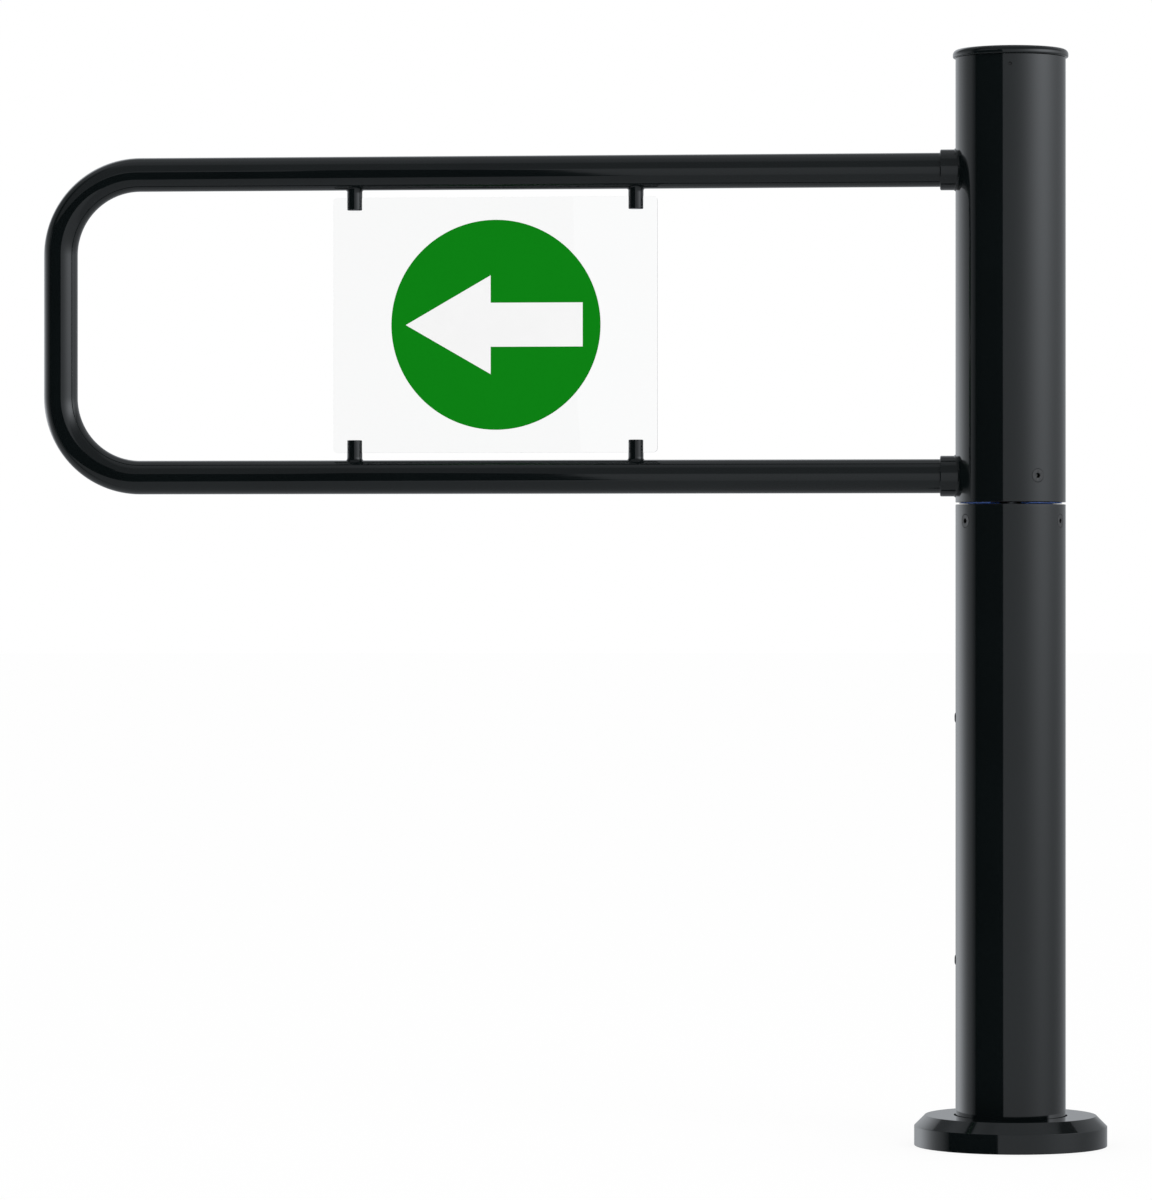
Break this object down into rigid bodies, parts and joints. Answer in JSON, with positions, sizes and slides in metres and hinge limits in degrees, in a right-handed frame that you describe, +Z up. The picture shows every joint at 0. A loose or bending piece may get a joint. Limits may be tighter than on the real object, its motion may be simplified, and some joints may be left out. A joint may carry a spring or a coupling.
{
  "type": "swing gate turnstile",
  "caption": "Swing gate turnstile: a black post whose upper part turns, with a bent tube leaf that carries a clear panel with an arrow sign.",
  "frame": {"origin": "on the floor, on the post's axis, in the underside of the floor flange", "axes": "+Z up along the post, the closed leaf reaches along -X, the front faces -Y"},
  "size_m": [0.9926, 0.178, 1.012],
  "materials": {
    "black_coating": "gloss black coating on steel",
    "bare_steel": "turned and milled steel",
    "black_screws": "black screws",
    "blue_polymer": "blue bearing plastic",
    "bronze": "turned bronze",
    "clear_acrylic": "clear sheet with polished edges",
    "green_film": "printed film",
    "white_film": "printed film"
  },
  "bodies": {
    "post": {"floor_flange": "bare_steel", "flange_cover": "black_coating", "lower_post": "black_coating", "side_screw_low": "black_screws", "side_screw_high": "black_screws", "bearing_housing": "bare_steel", "housing_screw_1": "black_screws", "housing_screw_2": "black_screws", "housing_screw_3": "black_screws", "thrust_washer": "blue_polymer", "pivot_shaft": "bare_steel", "shaft_nut": "bare_steel"},
    "gate": {"gate_post": "black_coating", "rotor_hub": "bare_steel", "hub_bush": "bronze", "hub_screw_1": "black_screws", "hub_screw_2": "black_screws", "hub_screw_3": "black_screws", "top_cap": "black_coating", "cap_screw": "black_screws", "socket_upper": "black_coating", "socket_lower": "black_coating", "leaf_tube": "black_coating", "sign_panel": "clear_acrylic", "sign_disc_front": "green_film", "sign_disc_back": "green_film", "arrow_front": "white_film", "arrow_back": "white_film", "panel_pin_1": "black_coating", "panel_pin_2": "black_coating", "panel_pin_3": "black_coating", "panel_pin_4": "black_coating"}
  },
  "joints": [
    {"name": "gate_swing", "type": "hinge", "parent": "post", "child": "gate", "pos_m": [0, 0, 0.593], "axis": [0, 0, 1], "range_deg": [-90, 90], "stiffness_Nm_per_rad": 3.2}
  ]
}
